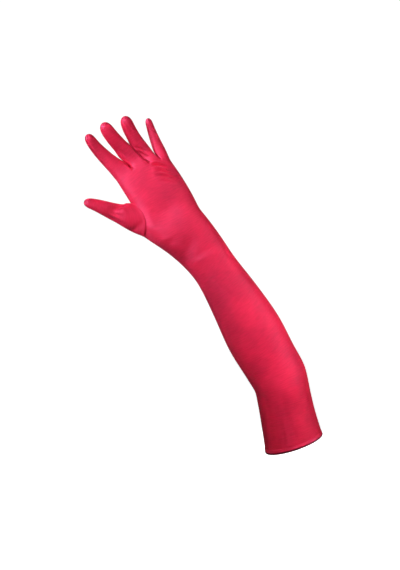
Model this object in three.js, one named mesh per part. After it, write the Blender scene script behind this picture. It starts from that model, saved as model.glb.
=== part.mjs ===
// Elbow length dress glove in stretch satin, kept in its worn shape: the sleeve bends at the elbow,
// the palm faces forward and the fingers curl a little. The cloth is a thin shell, open at the sleeve end.
// Millimetres. X is to the right, Y is away from the palm side, and Z is up.
// The origin is the centre of the sleeve opening.
import * as THREE from "three";

// Driving sizes
const GLOVE_LENGTH = 500;
const SLEEVE_WIDTH = 79;
const FINGER_WIDTH = 17.5;
const WALL = 1;
const HEM_HEIGHT = 6.5;
const HEM_WALL = 2;
const HEM_PROUD = 0.1;
const SEAM_GAP = 0.3;
const FINGER_APART = 0.6;

// How finely the cloth is divided: points on one side of a finger, of the thumb, and all round the sleeve
const SIDE = 4;
const THUMB_SIDE = 6;
const AROUND = 10 * SIDE;
const RIGHT_COLUMN = 4.5 * SIDE;

// Sections from the sleeve opening to the finger bases.
// x, y and z are the centre as shares of GLOVE_LENGTH. width and depth are shares of SLEEVE_WIDTH.
// lean tilts the section's axis to the left, tip brings it forward and turn swings the section about it.
// square is the oval's exponent: 2 is an ellipse and more is boxier.
const SECTIONS = [
  { x: 0.0, y: 0.0, z: 0.0, width: 1.0, depth: 0.96, lean: 19, tip: 6, turn: 0, square: 2.0 },
  { x: -0.017, y: -0.008, z: 0.0748, width: 0.92, depth: 0.95, lean: 15, tip: 6, turn: 0, square: 2.0 },
  { x: -0.0298, y: -0.014, z: 0.1348, width: 0.9, depth: 0.98, lean: 15, tip: 6, turn: 0, square: 2.1 },
  { x: -0.0428, y: -0.02, z: 0.1808, width: 0.94, depth: 0.97, lean: 22, tip: 6, turn: 0, square: 2.1 },
  { x: -0.0678, y: -0.024, z: 0.223, width: 0.952, depth: 0.93, lean: 30, tip: 7, turn: 0, square: 2.0 },
  { x: -0.1076, y: -0.034, z: 0.2934, width: 0.995, depth: 0.88, lean: 35, tip: 9, turn: 0, square: 2.0 },
  { x: -0.1606, y: -0.054, z: 0.3846, width: 0.861, depth: 0.76, lean: 38, tip: 10, turn: 2, square: 2.0 },
  { x: -0.2068, y: -0.07, z: 0.4572, width: 0.743, depth: 0.64, lean: 38, tip: 11, turn: 3, square: 2.0 },
  { x: -0.2408, y: -0.082, z: 0.5026, width: 0.781, depth: 0.58, lean: 38, tip: 10, turn: 5, square: 2.0 },
  { x: -0.2748, y: -0.09, z: 0.5388, width: 0.861, depth: 0.56, lean: 34, tip: 9, turn: 7, square: 2.1 },
  { x: -0.3062, y: -0.096, z: 0.566, width: 0.97, depth: 0.55, lean: 29, tip: 8, turn: 8, square: 2.1 },
  { x: -0.3202, y: -0.098, z: 0.5778, width: 1.018, depth: 0.53, lean: 27, tip: 7, turn: 8, square: 2.2 },
  { x: -0.3335, y: -0.102, z: 0.6136, width: 0.965, depth: 0.47, lean: 27, tip: 7, turn: 9, square: 2.2 },
  { x: -0.3548, y: -0.108, z: 0.6532, width: 0.945, depth: 0.41, lean: 27, tip: 6, turn: 10, square: 2.3 },
  { x: -0.389, y: -0.114, z: 0.706, width: 0.935, depth: 0.31, lean: 21, tip: 6, turn: 9, square: 2.9 },
];

// Rings of points along the sleeve and palm: each zone ends at a share of the way to the finger bases
const ZONES = [
  { end: 0.14, rings: 4 },
  { end: 0.3, rings: 6 },
  { end: 0.62, rings: 9 },
  { end: 0.822, rings: 8 },
  { end: 0.935, rings: 6 },
  { end: 1.0, rings: 4 },
];
const THUMB_ZONE = 4;

// Where the thumb is set in, in columns of the palm's grid
const THUMB_COLUMNS = { first: 8.75 * SIDE, last: 10.25 * SIDE };

// Places between the fingers, from index to little finger, on the palm side of the grid.
// column is where the even column comes to lie.
// rise is how far past the base line it lies, as a share of GLOVE_LENGTH.
const WEBS = [
  { name: "index side", column: 0, rise: 0 },
  { name: "index and middle", column: 4.9, rise: 0.0166 },
  { name: "middle and ring", column: 10.1, rise: 0.0166 },
  { name: "ring and little", column: 13.7, rise: 0.012 },
  { name: "little side", column: 16, rise: 0 },
];
const WEB_FADE = 0.09;
const WEB_BACK_SHARE = 0.5;
const WEB_SADDLE = 0.003;

// Fingers and thumb. length is a share of GLOVE_LENGTH from the base.
// width, tipWidth and depth are shares of FINGER_WIDTH.
// leans and curls are the axis's angles at the base, at a third, at two thirds and at the tip.
const FINGERS = [
  {
    name: "index",
    length: 0.147,
    width: 1.34,
    tipWidth: 0.78,
    depth: 1.15,
    leans: [49, 47, 43, 27],
    curls: [6, 12, 19, 30],
  },
  {
    name: "middle",
    length: 0.154,
    width: 1.28,
    tipWidth: 0.97,
    depth: 1.18,
    leans: [45, 44, 41, 28],
    curls: [8, 18, 26, 32],
  },
  {
    name: "ring",
    length: 0.147,
    width: 1.1,
    tipWidth: 0.93,
    depth: 1.08,
    leans: [44, 40, 29, 17],
    curls: [6, 14, 24, 34],
  },
  {
    name: "little",
    length: 0.12,
    width: 1.04,
    tipWidth: 0.52,
    depth: 0.98,
    leans: [29, 24, 20, 16],
    curls: [2, 8, 13, 17],
  },
];
const THUMB = {
  name: "thumb",
  length: 0.152,
  width: 1.85,
  tipWidth: 0.78,
  depth: 1.45,
  leans: [81, 74, 69, 81],
  curls: [14, 18, 17, 17],
};
const FINGER_RINGS = 10;
const FINGER_BLEND = 0.036;
const THUMB_BLEND = 0.062;
const DOME_ANGLES = [28, 52];
const DOME_SHARE = 0.72;

// Broad dents and swellings. along is a share of the way to the finger bases. around is the angle
// from the right edge by way of the palm side and tilt turns the mark, both in degrees.
// reach, spread and rise are shares of SLEEVE_WIDTH, and a negative rise is a dent.
const RELIEFS = [
  { name: "palm hollow", along: 0.885, around: 100, reach: 0.329, spread: 0.152, tilt: 20, rise: -0.033 },
  { name: "thumb ball", along: 0.85, around: 140, reach: 0.253, spread: 0.139, tilt: 20, rise: 0.028 },
  { name: "heel of the hand", along: 0.84, around: 60, reach: 0.329, spread: 0.114, tilt: 0, rise: 0.0114 },
  { name: "wrist hollow", along: 0.735, around: 95, reach: 0.278, spread: 0.127, tilt: 0, rise: -0.0203 },
  { name: "tendon hollow", along: 0.66, around: 75, reach: 0.582, spread: 0.076, tilt: 0, rise: -0.0139 },
  { name: "elbow crook", along: 0.2, around: 170, reach: 0.0886, spread: 0.38, tilt: 0, rise: -0.0203 },
  { name: "crook fold", along: 0.235, around: 165, reach: 0.076, spread: 0.329, tilt: 0, rise: 0.0127 },
  { name: "elbow point", along: 0.21, around: 300, reach: 0.2025, spread: 0.228, tilt: 0, rise: 0.038 },
];

const radians = (degrees) => (degrees * Math.PI) / 180;
const add = (a, b, scale = 1) => [a[0] + b[0] * scale, a[1] + b[1] * scale, a[2] + b[2] * scale];
const subtract = (a, b) => add(a, b, -1);
const mix = (a, b, t) => add(a, subtract(b, a), t);
const cross = (a, b) => [
  a[1] * b[2] - a[2] * b[1],
  a[2] * b[0] - a[0] * b[2],
  a[0] * b[1] - a[1] * b[0],
];
const dot = (a, b) => a[0] * b[0] + a[1] * b[1] + a[2] * b[2];
const size = (a) => Math.hypot(a[0], a[1], a[2]);
const unit = (a) => a.map((value) => value / (size(a) || 1));
const smooth = (t) => {
  const held = Math.min(Math.max(t, 0), 1);
  return held * held * (3 - 2 * held);
};

// Each section's distance along the centre line
SECTIONS.forEach((row, index) => {
  const before = SECTIONS[Math.max(index - 1, 0)];
  const step = size([row.x - before.x, row.y - before.y, row.z - before.z]) * GLOVE_LENGTH;
  row.along = index === 0 ? 0 : before.along + step;
});
const BASE_ALONG = SECTIONS[SECTIONS.length - 1].along;

// A column of the section table, read at any distance as a smooth curve through its rows
function sectionValue(column, along) {
  let index = 0;
  while (index < SECTIONS.length - 2 && SECTIONS[index + 1].along < along) index += 1;
  const slope = (from, to) => {
    const rise = SECTIONS[to][column] - SECTIONS[from][column];
    return rise / (SECTIONS[to].along - SECTIONS[from].along);
  };
  const start = SECTIONS[index];
  const end = SECTIONS[index + 1];
  const span = end.along - start.along;
  const startSlope = slope(Math.max(index - 1, 0), index + 1) * span;
  const endSlope = slope(index, Math.min(index + 2, SECTIONS.length - 1)) * span;
  const t = (along - start.along) / span;
  const bend = t * t * (3 - 2 * t);
  return (
    start[column] * (1 - bend) +
    end[column] * bend +
    startSlope * t * (1 - t) * (1 - t) -
    endSlope * t * t * (1 - t)
  );
}

// The axes of a section: right runs across it, front is its palm side and axis points to the fingertips
function axesOf(lean, tip, turn) {
  const level = Math.cos(radians(tip));
  const axis = [-Math.sin(radians(lean)) * level, -Math.sin(radians(tip)), Math.cos(radians(lean)) * level];
  const across = [Math.cos(radians(lean)), 0, Math.sin(radians(lean))];
  const facing = cross(across, axis);
  const right = add(across.map((value) => value * Math.cos(radians(turn))), facing, -Math.sin(radians(turn)));
  const front = cross(right, axis);
  return { right, front, axis };
}

// A point on an oval at an angle from its right end by way of its front
function ovalPoint(width, depth, square, angle) {
  const c = Math.cos(angle);
  const s = Math.sin(angle);
  return [
    (Math.sign(c) * Math.abs(c) ** (2 / square) * width) / 2,
    (Math.sign(s) * Math.abs(s) ** (2 / square) * depth) / 2,
  ];
}

// The angle on an oval that lies a share of its whole edge from the right end
function ovalAngle(width, depth, square, share) {
  const steps = 240;
  const wanted = share - Math.floor(share);
  const lengths = [0];
  let last = ovalPoint(width, depth, square, 0);
  for (let step = 1; step <= steps; step += 1) {
    const next = ovalPoint(width, depth, square, (step / steps) * 2 * Math.PI);
    lengths.push(lengths[step - 1] + Math.hypot(next[0] - last[0], next[1] - last[1]));
    last = next;
  }
  const target = wanted * lengths[steps];
  let step = 1;
  while (step < steps && lengths[step] < target) step += 1;
  const part = (target - lengths[step - 1]) / (lengths[step] - lengths[step - 1]);
  return ((step - 1 + part) / steps) * 2 * Math.PI;
}

// Reads one column of the web table at a grid column of the palm side
function webValue(column, gridColumn) {
  const place = Math.min(Math.max(gridColumn / SIDE, 0), WEBS.length - 1);
  const index = Math.min(Math.floor(place), WEBS.length - 2);
  return WEBS[index][column] + (WEBS[index + 1][column] - WEBS[index][column]) * (place - index);
}

// Where a grid column lies near the finger bases, and how far it runs past the base line
function webShift(column) {
  const held = ((column % AROUND) + AROUND) % AROUND;
  if (held <= 4 * SIDE) {
    return { column: webValue("column", held) * (SIDE / 4), rise: webValue("rise", held) };
  }
  if (held < 5 * SIDE || held > 9 * SIDE) return { column: held, rise: 0 };
  const mirrored = 9 * SIDE - held;
  return {
    column: 9 * SIDE - webValue("column", mirrored) * (SIDE / 4),
    rise: webValue("rise", mirrored) * WEB_BACK_SHARE,
  };
}

// How far the dents and swellings move the cloth outward
function reliefAt(along, angle, width) {
  let total = 0;
  for (const relief of RELIEFS) {
    const up = along - relief.along * BASE_ALONG;
    const turned = ((((angle * 180) / Math.PI - relief.around) % 360) + 540) % 360 - 180;
    const side = (radians(turned) * width) / 2;
    const c = Math.cos(radians(relief.tilt));
    const s = Math.sin(radians(relief.tilt));
    const u = (up * c + side * s) / (relief.reach * SLEEVE_WIDTH);
    const v = (side * c - up * s) / (relief.spread * SLEEVE_WIDTH);
    total += relief.rise * SLEEVE_WIDTH * Math.exp(-(u * u + v * v));
  }
  return total;
}

// A point of the sleeve and palm cloth, at a grid column and a distance along. offset moves it outward.
function clothPoint(column, along, offset = 0) {
  const centre = ["x", "y", "z"].map((key) => sectionValue(key, along) * GLOVE_LENGTH);
  const width = sectionValue("width", along) * SLEEVE_WIDTH;
  const depth = sectionValue("depth", along) * SLEEVE_WIDTH;
  const square = sectionValue("square", along);
  const axes = axesOf(sectionValue("lean", along), sectionValue("tip", along), sectionValue("turn", along));
  const near = smooth(1 - (BASE_ALONG - along) / (WEB_FADE * GLOVE_LENGTH));
  const shift = webShift(column);
  const held = ((column % AROUND) + AROUND) % AROUND;
  const moved = held + (shift.column - held) * near;
  const angle = ovalAngle(width, depth, square, (RIGHT_COLUMN - moved) / AROUND);
  const [u, v] = ovalPoint(width, depth, square, angle);
  const out = reliefAt(along, angle, width) + offset;
  const normal = unit([(Math.cos(angle) * depth) / width, Math.sin(angle), 0]);
  let point = add(centre, axes.right, u + normal[0] * out);
  point = add(point, axes.front, v + normal[1] * out);
  return add(point, axes.axis, shift.rise * GLOVE_LENGTH * near);
}

// A sheet of cloth: points, and four-sided faces that name their points by number
class Cloth {
  constructor() {
    this.points = [];
    this.faces = [];
    this.normals = new Map();
  }

  point(position) {
    this.points.push(position);
    return this.points.length - 1;
  }

  // Joins two rings of point numbers with faces that look outward
  join(lower, upper) {
    lower.forEach((start, index) => {
      const next = (index + 1) % lower.length;
      this.faces.push([start, lower[next], upper[next], upper[index]]);
    });
  }

  // The sheet's normal at each point, as the mean of the faces that meet there
  pointNormals() {
    const sums = this.points.map(() => [0, 0, 0]);
    for (const [a, b, c, d] of this.faces) {
      const across = subtract(this.points[c], this.points[a]);
      const normal = cross(across, subtract(this.points[d], this.points[b]));
      for (const corner of [a, b, c, d]) sums[corner] = add(sums[corner], normal);
    }
    return sums.map((sum, index) => this.normals.get(index) ?? unit(sum));
  }

  // The closed solid that lies between the sheet and its copy one wall further in
  solid(wall) {
    const normals = this.pointNormals();
    const inner = this.points.map((point, index) => add(point, normals[index], -wall));
    const directed = new Set();
    for (const face of this.faces) face.forEach((from, k) => directed.add(from + "," + face[(k + 1) % 4]));
    const panels = [];
    for (const face of this.faces) {
      const [a, b, c, d] = face;
      const first = size(subtract(this.points[a], this.points[c]));
      const second = size(subtract(this.points[b], this.points[d]));
      const order = first > second ? [b, c, d, a] : [a, b, c, d];
      panels.push(order.map((k) => this.points[k]));
      const back = [order[0], order[3], order[2], order[1]];
      panels.push(back.map((k) => inner[k]));
      face.forEach((from, k) => {
        const to = face[(k + 1) % 4];
        if (directed.has(to + "," + from)) return;
        panels.push([this.points[to], this.points[from], inner[from], inner[to]]);
      });
    }
    return panels;
  }
}

// A mesh from four-sided panels, each split along its first diagonal
function meshOf(name, panels, color) {
  const values = [];
  for (const [a, b, c, d] of panels) values.push(...a, ...b, ...c, ...a, ...c, ...d);
  const geometry = new THREE.BufferGeometry();
  geometry.setAttribute("position", new THREE.Float32BufferAttribute(values, 3));
  geometry.computeVertexNormals();
  const material = new THREE.MeshStandardMaterial({ color, roughness: 0.45, metalness: 0 });
  const mesh = new THREE.Mesh(geometry, material);
  mesh.name = name;
  return mesh;
}

// Reads a list of angles at even steps as a smooth curve
function angleAt(list, share) {
  const place = Math.min(Math.max(share, 0), 1) * (list.length - 1);
  const index = Math.min(Math.floor(place), list.length - 2);
  const t = place - index;
  const before = list[Math.max(index - 1, 0)];
  const after = list[Math.min(index + 2, list.length - 1)];
  const startSlope = (list[index + 1] - before) / 2;
  const endSlope = (after - list[index]) / 2;
  const bend = t * t * (3 - 2 * t);
  const straight = list[index] * (1 - bend) + list[index + 1] * bend;
  return straight + startSlope * t * (1 - t) * (1 - t) - endSlope * t * t * (1 - t);
}

// The bending centre line of a finger that starts at a point, with its axes and size at any reach
function fingerPath(row, start) {
  const length = row.length * GLOVE_LENGTH;
  const tipWidth = row.tipWidth * FINGER_WIDTH;
  const dome = tipWidth * DOME_SHARE;
  const shoulder = length - dome;
  const axesAt = (reach) => {
    const share = reach / length;
    return axesOf(angleAt(row.leans, share), angleAt(row.curls, share), 0);
  };
  const centreAt = (reach) => {
    const steps = 24;
    let place = start;
    for (let step = 0; step < steps; step += 1) {
      place = add(place, axesAt(((step + 0.5) / steps) * reach).axis, reach / steps);
    }
    return place;
  };
  const sizeAt = (reach) => {
    const taper = Math.min(reach / shoulder, 1);
    const width = row.width * FINGER_WIDTH * (1 - taper) + tipWidth * taper;
    const rise = Math.min(Math.max((reach - shoulder) / dome, 0), 1);
    const round = Math.sqrt(1 - rise * rise);
    return { width: width * round, depth: ((width * row.depth) / row.width) * round };
  };
  return { length, shoulder, dome, tipWidth, axesAt, centreAt, sizeAt };
}

// The direction and distance from one finger's centre line to another's, square to its own axis
function towardOther(path, other, reach) {
  const axis = path.axesAt(reach).axis;
  const away = subtract(other.centreAt(reach), path.centreAt(reach));
  const level = add(away, axis, -dot(away, axis));
  return { toward: unit(level), distance: size(level) };
}

// Presses a point of one finger flat where it would run into the finger beside it.
// The pressed side starts at the line between the two fingers and moves to where their widths meet.
function pressed(point, reach, path, neighbours) {
  let held = point;
  for (const { other, between } of neighbours) {
    if (reach > other.shoulder) continue;
    const first = towardOther(path, other, 0);
    const shareAtBase = dot(subtract(between, path.centreAt(0)), first.toward) / first.distance;
    const own = path.sizeAt(reach).width;
    const shareAbove = own / (own + other.sizeAt(reach).width);
    const settled = smooth(reach / (FINGER_BLEND * GLOVE_LENGTH));
    const share = shareAtBase + (shareAbove - shareAtBase) * settled;
    const { toward, distance } = towardOther(path, other, reach);
    const over = dot(subtract(held, path.centreAt(reach)), toward) - distance * share + FINGER_APART;
    if (over > 0) held = add(held, toward, -over);
  }
  return held;
}

const middleOf = (points) => points.reduce((sum, point) => add(sum, point, 1 / points.length), [0, 0, 0]);

// Grows one finger from a loop of points: a tube along a bending axis, closed by a domed grid
function growFinger(cloth, row, loop, side, blendLength, path, neighbours = []) {
  const base = loop.map((index) => cloth.points[index]);
  const start = middleOf(base);
  const { shoulder, dome, tipWidth, axesAt, centreAt, sizeAt } = path;
  const baseAxes = axesAt(0);
  const apart = 1 - (2 * FINGER_APART) / (row.width * FINGER_WIDTH);
  const ringAt = (reach) => {
    const centre = centreAt(reach);
    const axes = axesAt(reach);
    const { width, depth } = sizeAt(reach);
    const blend = smooth(reach / (blendLength * GLOVE_LENGTH));
    return base.map((point, index) => {
      const angle = radians(135 - (index / side) * 90);
      let round = add(centre, axes.right, (Math.cos(angle) * width) / 2);
      round = add(round, axes.front, (Math.sin(angle) * depth) / 2);
      const held = add(add(start, subtract(point, start), apart), baseAxes.axis, reach);
      return pressed(mix(held, round, blend), reach, path, neighbours);
    });
  };
  let last = loop;
  const reaches = [];
  for (let ring = 1; ring <= FINGER_RINGS; ring += 1) {
    reaches.push(shoulder * (ring / FINGER_RINGS) ** 1.25);
  }
  for (const degrees of DOME_ANGLES) {
    reaches.push(shoulder + dome * Math.sin(radians(degrees)));
  }
  for (const reach of reaches) {
    const ring = ringAt(reach).map((point) => cloth.point(point));
    cloth.join(last, ring);
    last = ring;
  }
  const rim = DOME_ANGLES[DOME_ANGLES.length - 1];
  const grid = [];
  for (let back = 0; back <= side; back += 1) {
    const line = [];
    for (let over = 0; over <= side; over += 1) {
      if (back === 0) line.push(last[over]);
      else if (back === side) line.push(last[3 * side - over]);
      else if (over === 0) line.push(last[4 * side - back]);
      else if (over === side) line.push(last[side + back]);
      else {
        const x = (2 * over) / side - 1;
        const y = 1 - (2 * back) / side;
        const u = x * Math.sqrt(1 - (y * y) / 2) * Math.cos(radians(rim));
        const v = y * Math.sqrt(1 - (x * x) / 2) * Math.cos(radians(rim));
        const reach = shoulder + dome * Math.sqrt(1 - u * u - v * v);
        const axes = axesAt(reach);
        const across = add(centreAt(reach), axes.right, (u * tipWidth) / 2);
        line.push(cloth.point(add(across, axes.front, (((v * tipWidth) / 2) * row.depth) / row.width)));
      }
    }
    grid.push(line);
  }
  for (let back = 0; back < side; back += 1) {
    for (let over = 0; over < side; over += 1) {
      cloth.faces.push([
        grid[back][over],
        grid[back][over + 1],
        grid[back + 1][over + 1],
        grid[back + 1][over],
      ]);
    }
  }
}

// Rings of the sleeve and palm
const ringPlaces = [HEM_HEIGHT + SEAM_GAP];
const zoneStarts = [];
for (const zone of ZONES) {
  const from = ringPlaces[ringPlaces.length - 1];
  zoneStarts.push(ringPlaces.length - 1);
  for (let ring = 1; ring <= zone.rings; ring += 1) {
    ringPlaces.push(from + ((zone.end * BASE_ALONG - from) * ring) / zone.rings);
  }
}
const thumbRings = { first: zoneStarts[THUMB_ZONE], last: zoneStarts[THUMB_ZONE + 1] };
const ringPlaceAt = (ring) => {
  const index = Math.min(Math.floor(ring), ringPlaces.length - 2);
  return ringPlaces[index] + (ringPlaces[index + 1] - ringPlaces[index]) * (ring - index);
};

// Draws the grid's corners in toward the middle of the thumb hole, so that the hole is an oval
function roundHole(column, ring) {
  const { first, last } = THUMB_COLUMNS;
  const middleColumn = (first + last) / 2;
  const middleRing = (thumbRings.first + thumbRings.last) / 2;
  const halfColumns = (last - first) / 2;
  const halfRings = (thumbRings.last - thumbRings.first) / 2;
  const wrapped = column < first - AROUND / 2 ? column + AROUND : column;
  const u = (wrapped - middleColumn) / halfColumns;
  const v = (ring - middleRing) / halfRings;
  const boxed = Math.max(Math.abs(u), Math.abs(v));
  const round = Math.hypot(u, v);
  if (round === 0) return [column, ring];
  const fade = 1 - smooth((boxed - 1) / 1.2);
  const pull = 1 + (boxed / round - 1) * fade;
  return [middleColumn + u * pull * halfColumns, middleRing + v * pull * halfRings];
}

// Sleeve, palm and four fingers, cut open where the thumb is set in
const body = new Cloth();
const rings = ringPlaces.map((place, ring) =>
  Array.from({ length: AROUND }, (unused, column) => {
    const [movedColumn, movedRing] = roundHole(column, ring);
    const along = ringPlaceAt(Math.min(movedRing, ringPlaces.length - 1));
    return body.point(clothPoint(movedColumn, along));
  }),
);
const inHole = (column, ring) => {
  const wrapped = column < THUMB_COLUMNS.first - AROUND / 2 ? column + AROUND : column;
  const acrossHole = wrapped >= THUMB_COLUMNS.first && wrapped < THUMB_COLUMNS.last;
  return acrossHole && ring >= thumbRings.first && ring < thumbRings.last;
};
for (let ring = 0; ring < rings.length - 1; ring += 1) {
  for (let column = 0; column < AROUND; column += 1) {
    if (inHole(column, ring)) continue;
    const next = (column + 1) % AROUND;
    const [lower, upper] = [rings[ring], rings[ring + 1]];
    body.faces.push([lower[column], lower[next], upper[next], upper[column]]);
  }
}

// Lines of points between neighbouring fingers, from the palm side to the back
const baseRing = rings[rings.length - 1];
const webLines = [1, 2, 3].map((web) => {
  const [lower, upper] = [FINGERS[web - 1], FINGERS[web]];
  const lean = (lower.leans[0] + upper.leans[0]) / 2;
  const curl = (lower.curls[0] + upper.curls[0]) / 2;
  const between = axesOf(lean, curl, 0);
  const front = baseRing[web * SIDE];
  const back = baseRing[9 * SIDE - web * SIDE];
  const line = [front];
  for (let step = 1; step < SIDE; step += 1) {
    const share = step / SIDE;
    const straight = mix(body.points[front], body.points[back], share);
    const saddle = Math.sin(share * Math.PI) * WEB_SADDLE * GLOVE_LENGTH;
    line.push(body.point(add(straight, between.axis, saddle)));
  }
  line.push(back);
  // The cloth folds back on itself here, so its thickness is laid out along the fingers
  line.forEach((index, step) => {
    const facing = step === 0 ? 1 : step === SIDE ? -1 : 0;
    body.normals.set(index, unit(add(between.axis, between.front, facing)));
  });
  return line;
});
const fingerLoops = FINGERS.map((row, finger) => {
  const palmSide = baseRing.slice(finger * SIDE, (finger + 1) * SIDE + 1);
  const backSide = baseRing.slice((8 - finger) * SIDE, (9 - finger) * SIDE + 1);
  const littleSide = baseRing.slice(4 * SIDE, 5 * SIDE + 1);
  const indexSide = [...baseRing.slice(9 * SIDE), baseRing[0]];
  const rightSide = finger === 3 ? littleSide : webLines[finger];
  const leftSide = finger === 0 ? indexSide : [...webLines[finger - 1]].reverse();
  return [palmSide, rightSide, backSide, leftSide].flatMap((line) => line.slice(0, SIDE));
});
const fingerPaths = fingerLoops.map((loop, finger) =>
  fingerPath(FINGERS[finger], middleOf(loop.map((index) => body.points[index]))),
);
fingerLoops.forEach((loop, finger) => {
  const neighbours = [];
  const besideAt = (place, line) => {
    const between = middleOf(webLines[line].map((index) => body.points[index]));
    neighbours.push({ other: fingerPaths[place], between });
  };
  if (finger > 0) besideAt(finger - 1, finger - 1);
  if (finger < FINGERS.length - 1) besideAt(finger + 1, finger);
  growFinger(body, FINGERS[finger], loop, SIDE, FINGER_BLEND, fingerPaths[finger], neighbours);
});

// Thumb: its base loop follows the hole's edge one seam gap further in
const holeLoop = [];
const { first: holeLeft, last: holeRight } = THUMB_COLUMNS;
const { first: holeLow, last: holeHigh } = thumbRings;
const holeSteps = Array.from({ length: THUMB_SIDE }, (unused, step) => step);
holeLoop.push(...holeSteps.map((step) => [holeRight, holeLow + step]));
holeLoop.push(...holeSteps.map((step) => [holeRight - step, holeHigh]));
holeLoop.push(...holeSteps.map((step) => [holeLeft, holeHigh - step]));
holeLoop.push(...holeSteps.map((step) => [holeLeft + step, holeLow]));
const bodyNormals = body.pointNormals();
const holePoints = holeLoop.map(([column, ring]) => rings[ring][column % AROUND]);
const thumbCloth = new Cloth();
const thumbLoop = holePoints.map((index, place) => {
  const before = body.points[holePoints[(place + holePoints.length - 1) % holePoints.length]];
  const after = body.points[holePoints[(place + 1) % holePoints.length]];
  const inward = unit(cross(bodyNormals[index], subtract(after, before)));
  return thumbCloth.point(add(body.points[index], inward, SEAM_GAP));
});
const thumbPath = fingerPath(THUMB, middleOf(thumbCloth.points));
growFinger(thumbCloth, THUMB, thumbLoop, THUMB_SIDE, THUMB_BLEND, thumbPath);

// The thumb's seam edge is laid out midway between its own thickness and the palm's
const thumbNormals = thumbCloth.pointNormals();
thumbLoop.forEach((number, place) => {
  thumbCloth.normals.set(number, unit(add(thumbNormals[number], bodyNormals[holePoints[place]])));
});

// Hem: a band of doubled cloth round the opening, with a rounded lower edge.
// out is how far a point stands from the sleeve's surface, and up is a share of HEM_HEIGHT.
const hemProfile = [
  { out: HEM_PROUD, up: 1 },
  { out: HEM_PROUD, up: 0.5 },
  { out: HEM_PROUD, up: 0.12 },
  { out: -HEM_WALL / 4, up: 0 },
  { out: (-HEM_WALL * 3) / 4, up: 0 },
  { out: -HEM_WALL, up: 0.12 },
  { out: -HEM_WALL, up: 0.5 },
  { out: -HEM_WALL, up: 1 },
];
const hemPanels = [];
hemProfile.forEach((row, index) => {
  const next = hemProfile[(index + 1) % hemProfile.length];
  for (let column = 0; column < AROUND; column += 1) {
    hemPanels.push([
      clothPoint(column, row.up * HEM_HEIGHT, row.out),
      clothPoint(column, next.up * HEM_HEIGHT, next.out),
      clothPoint(column + 1, next.up * HEM_HEIGHT, next.out),
      clothPoint(column + 1, row.up * HEM_HEIGHT, row.out),
    ]);
  }
});

const SATIN_RED = 0xc8203f;
const group = new THREE.Group();
group.name = "elbow_length_glove";
group.add(meshOf("glove_body", body.solid(WALL), SATIN_RED));
group.add(meshOf("thumb", thumbCloth.solid(WALL), SATIN_RED));
group.add(meshOf("cuff_hem", hemPanels, SATIN_RED));
export default group;
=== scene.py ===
import math

import bpy
import numpy as np
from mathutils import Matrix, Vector
from mathutils.kdtree import KDTree


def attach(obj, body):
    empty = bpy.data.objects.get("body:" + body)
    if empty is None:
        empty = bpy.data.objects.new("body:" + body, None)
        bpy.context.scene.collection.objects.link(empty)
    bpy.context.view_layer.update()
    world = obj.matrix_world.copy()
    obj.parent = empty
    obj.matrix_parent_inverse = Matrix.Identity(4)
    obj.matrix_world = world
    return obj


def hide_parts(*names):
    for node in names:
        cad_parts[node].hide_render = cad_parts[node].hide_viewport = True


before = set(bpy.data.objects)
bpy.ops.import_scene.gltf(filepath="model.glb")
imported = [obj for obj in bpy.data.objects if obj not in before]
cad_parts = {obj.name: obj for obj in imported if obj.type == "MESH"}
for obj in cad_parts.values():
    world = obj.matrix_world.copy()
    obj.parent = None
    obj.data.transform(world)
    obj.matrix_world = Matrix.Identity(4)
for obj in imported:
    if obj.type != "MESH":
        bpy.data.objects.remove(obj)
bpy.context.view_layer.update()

# Glove body: sleeve, palm and four fingers, cut from red stretch satin and sewn up the sides.
# It is laid out as rings of points along the bent sleeve, and the fingers grow from the last ring.
GLOVE_LENGTH = 0.5
SLEEVE_WIDTH = 0.079
FINGER_WIDTH = 0.0175
HEM_HEIGHT = 0.0065
SEAM_GAP = 0.0003
SATIN_THICKNESS = 0.0007
CUT_EDGE_ANGLE = 75

# Grid of the cloth: SIDE columns for each side of a finger, first the palm's four, then the right edge, the
# back's four and the left edge. The side seams run up the edges, and the flat cloth is SLEEVE_ROUND wide.
SIDE = 4
PALM_END = 4 * SIDE
BACK_START = 5 * SIDE
BACK_END = 9 * SIDE
AROUND = 10 * SIDE
RIGHT_COLUMN = 4.5 * SIDE
LEFT_COLUMN = 9.5 * SIDE
SLEEVE_ROUND = 0.24

# Rows from the opening to the finger bases: centre x, y, z as shares of the length, width and depth as
# shares of the sleeve width, then the section's lean, tip and turn in degrees and the oval's exponent
SECTIONS = [
    (0.0, 0.0, 0.0, 1.0, 0.96, 19, 6, 0, 2.0),
    (-0.017, -0.008, 0.0748, 0.92, 0.95, 15, 6, 0, 2.0),
    (-0.0298, -0.014, 0.1348, 0.9, 0.98, 15, 6, 0, 2.1),
    (-0.0428, -0.02, 0.1808, 0.94, 0.97, 22, 6, 0, 2.1),
    (-0.0678, -0.024, 0.223, 0.952, 0.93, 30, 7, 0, 2.0),
    (-0.1076, -0.034, 0.2934, 0.995, 0.88, 35, 9, 0, 2.0),
    (-0.1606, -0.054, 0.3846, 0.861, 0.76, 38, 10, 2, 2.0),
    (-0.2068, -0.07, 0.4572, 0.743, 0.64, 38, 11, 3, 2.0),
    (-0.2408, -0.082, 0.5026, 0.781, 0.58, 38, 10, 5, 2.0),
    (-0.2748, -0.09, 0.5388, 0.861, 0.56, 34, 9, 7, 2.1),
    (-0.3062, -0.096, 0.566, 0.97, 0.55, 29, 8, 8, 2.1),
    (-0.3202, -0.098, 0.5778, 1.018, 0.53, 27, 7, 8, 2.2),
    (-0.3335, -0.102, 0.6136, 0.965, 0.47, 27, 7, 9, 2.2),
    (-0.3548, -0.108, 0.6532, 0.945, 0.41, 27, 6, 10, 2.3),
    (-0.389, -0.114, 0.706, 0.935, 0.31, 21, 6, 9, 2.9),
]
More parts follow.
